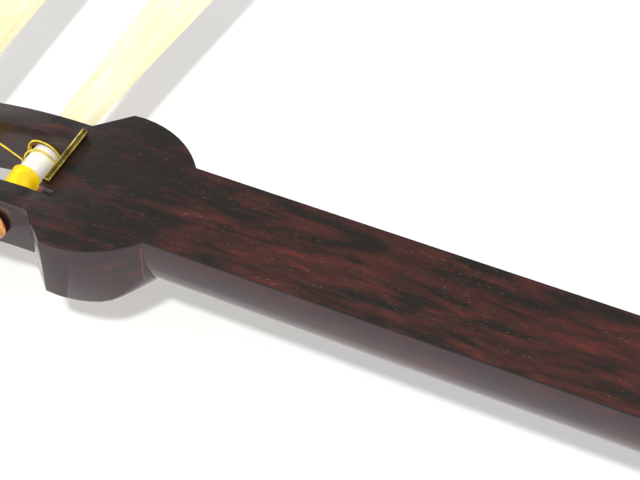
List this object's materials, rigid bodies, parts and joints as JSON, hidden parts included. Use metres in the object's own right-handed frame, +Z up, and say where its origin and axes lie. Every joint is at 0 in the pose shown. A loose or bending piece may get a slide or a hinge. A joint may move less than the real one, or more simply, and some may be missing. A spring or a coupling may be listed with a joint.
{
  "type": "shamisen",
  "caption": "Long-necked lute with a square skin-covered body, a neck that comes apart and side tuning pegs, lying on its back with its strings wound off on the pegs.",
  "frame": {"origin": "centre of the bounding box, on the surface it lies on", "axes": "+X along the neck from the head to the sound box, +Y across towards the third string's side, +Z up"},
  "size_m": [0.9866, 0.265, 0.1133],
  "materials": {
    "rosewood": "dark red-brown rosewood with black figure and fine pores, satin on the fingerboard and glossy on the sides",
    "karin_wood": "red-brown quince wood, glossy lacquer",
    "skin": "stretched cream skin, smooth",
    "ivory_white": "cream imitation ivory, polished",
    "copper": "coppery brass, turned and polished",
    "gilt_brass": "gilt, polished",
    "yellow_silk": "yellow twisted silk, waxed",
    "brocade": "indigo brocade over a stiff board",
    "tail_braid": "purple braided silk"
  },
  "bodies": {
    "sound_box": {"panel_head": "karin_wood", "panel_tail": "karin_wood", "panel_near": "karin_wood", "panel_far": "karin_wood", "front_skin": "skin", "back_skin": "skin", "arm_guard": "brocade", "tail_cord": "tail_braid"},
    "lower_neck": {"lower_neck": "rosewood", "mortise_liner_lower": "gilt_brass"},
    "middle_neck": {"middle_neck": "rosewood", "mortise_liner_upper": "gilt_brass"},
    "upper_neck": {"upper_neck": "rosewood", "head_finial": "rosewood", "nut": "gilt_brass", "string_loose_end": "yellow_silk", "ferrule_first_handle": "copper", "ferrule_first_tip": "copper", "ferrule_second_handle": "copper", "ferrule_second_tip": "copper", "ferrule_third_handle": "copper", "ferrule_third_tip": "copper"},
    "peg_first": {"peg_first": "ivory_white", "string_first_winding": "yellow_silk"},
    "peg_second": {"peg_second": "ivory_white", "string_second_winding": "yellow_silk"},
    "peg_third": {"peg_third": "ivory_white", "string_third_winding": "yellow_silk"}
  },
  "joints": [
    {"name": "body_joint", "type": "slide", "parent": "sound_box", "child": "lower_neck", "axis": [-0.999, 0, -0.0457], "range_m": [0, 0.045]},
    {"name": "lower_neck_joint", "type": "slide", "parent": "lower_neck", "child": "middle_neck", "axis": [-0.999, 0, -0.0457], "range_m": [0, 0.04]},
    {"name": "upper_neck_joint", "type": "slide", "parent": "middle_neck", "child": "upper_neck", "axis": [-0.999, 0, -0.0457], "range_m": [0, 0.04]},
    {"name": "first_peg_turn", "type": "hinge", "parent": "upper_neck", "child": "peg_first", "pos_m": [-0.37712, -0.00001, 0.06629], "axis": [0.0022, 0.9988, -0.0488], "continuous": true},
    {"name": "second_peg_turn", "type": "hinge", "parent": "upper_neck", "child": "peg_second", "pos_m": [-0.39943, -0.00001, 0.0617], "axis": [-0.0332, -0.9988, -0.0365], "continuous": true},
    {"name": "third_peg_turn", "type": "hinge", "parent": "upper_neck", "child": "peg_third", "pos_m": [-0.4211, -0.00001, 0.05396], "axis": [-0.0773, 0.9967, -0.0262], "continuous": true}
  ]
}
